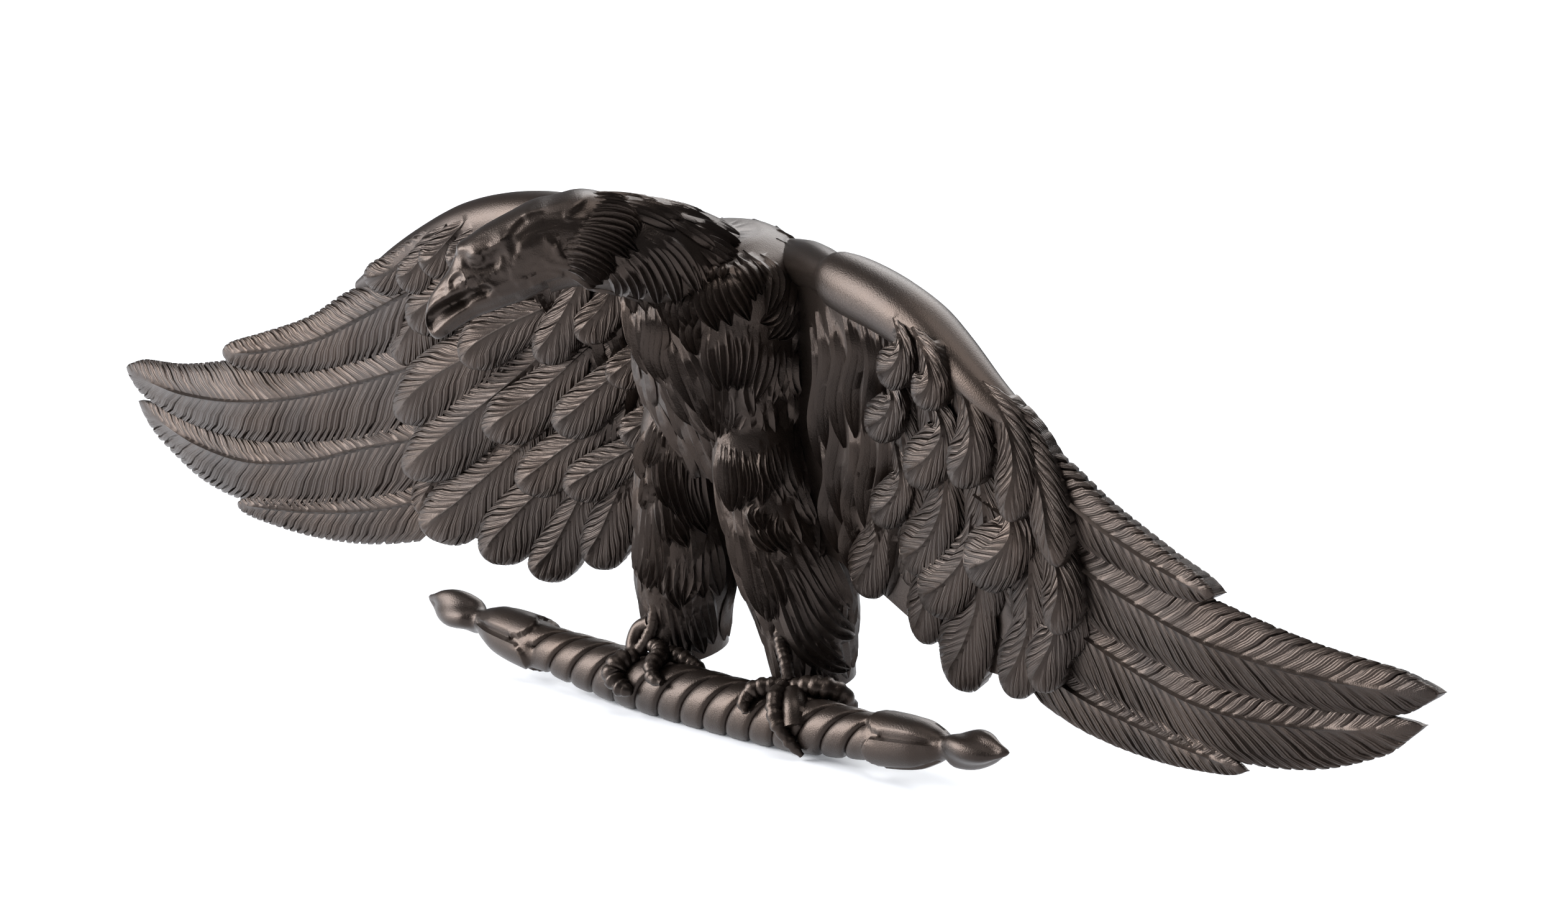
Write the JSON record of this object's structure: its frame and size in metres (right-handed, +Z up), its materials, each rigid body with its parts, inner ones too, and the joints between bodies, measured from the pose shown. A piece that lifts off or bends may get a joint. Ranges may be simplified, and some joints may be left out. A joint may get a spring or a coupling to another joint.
{
  "type": "bronze eagle sculpture",
  "caption": "Cast bronze eagle with spread, layered wings and turned head, standing with both feet on a spiral thunderbolt bar.",
  "frame": {"origin": "on the floor under the middle of the bar, where the bar's flat underside stands", "axes": "+Z up, X along the bar and the wings, the breast faces -Y"},
  "size_m": [0.4002, 0.0748, 0.1124],
  "materials": {
    "bronze": "dark brown patinated cast bronze, satin, rubbed warm on the high points"
  },
  "bodies": {
    "root": {"eagle": "bronze"}
  },
  "joints": []
}
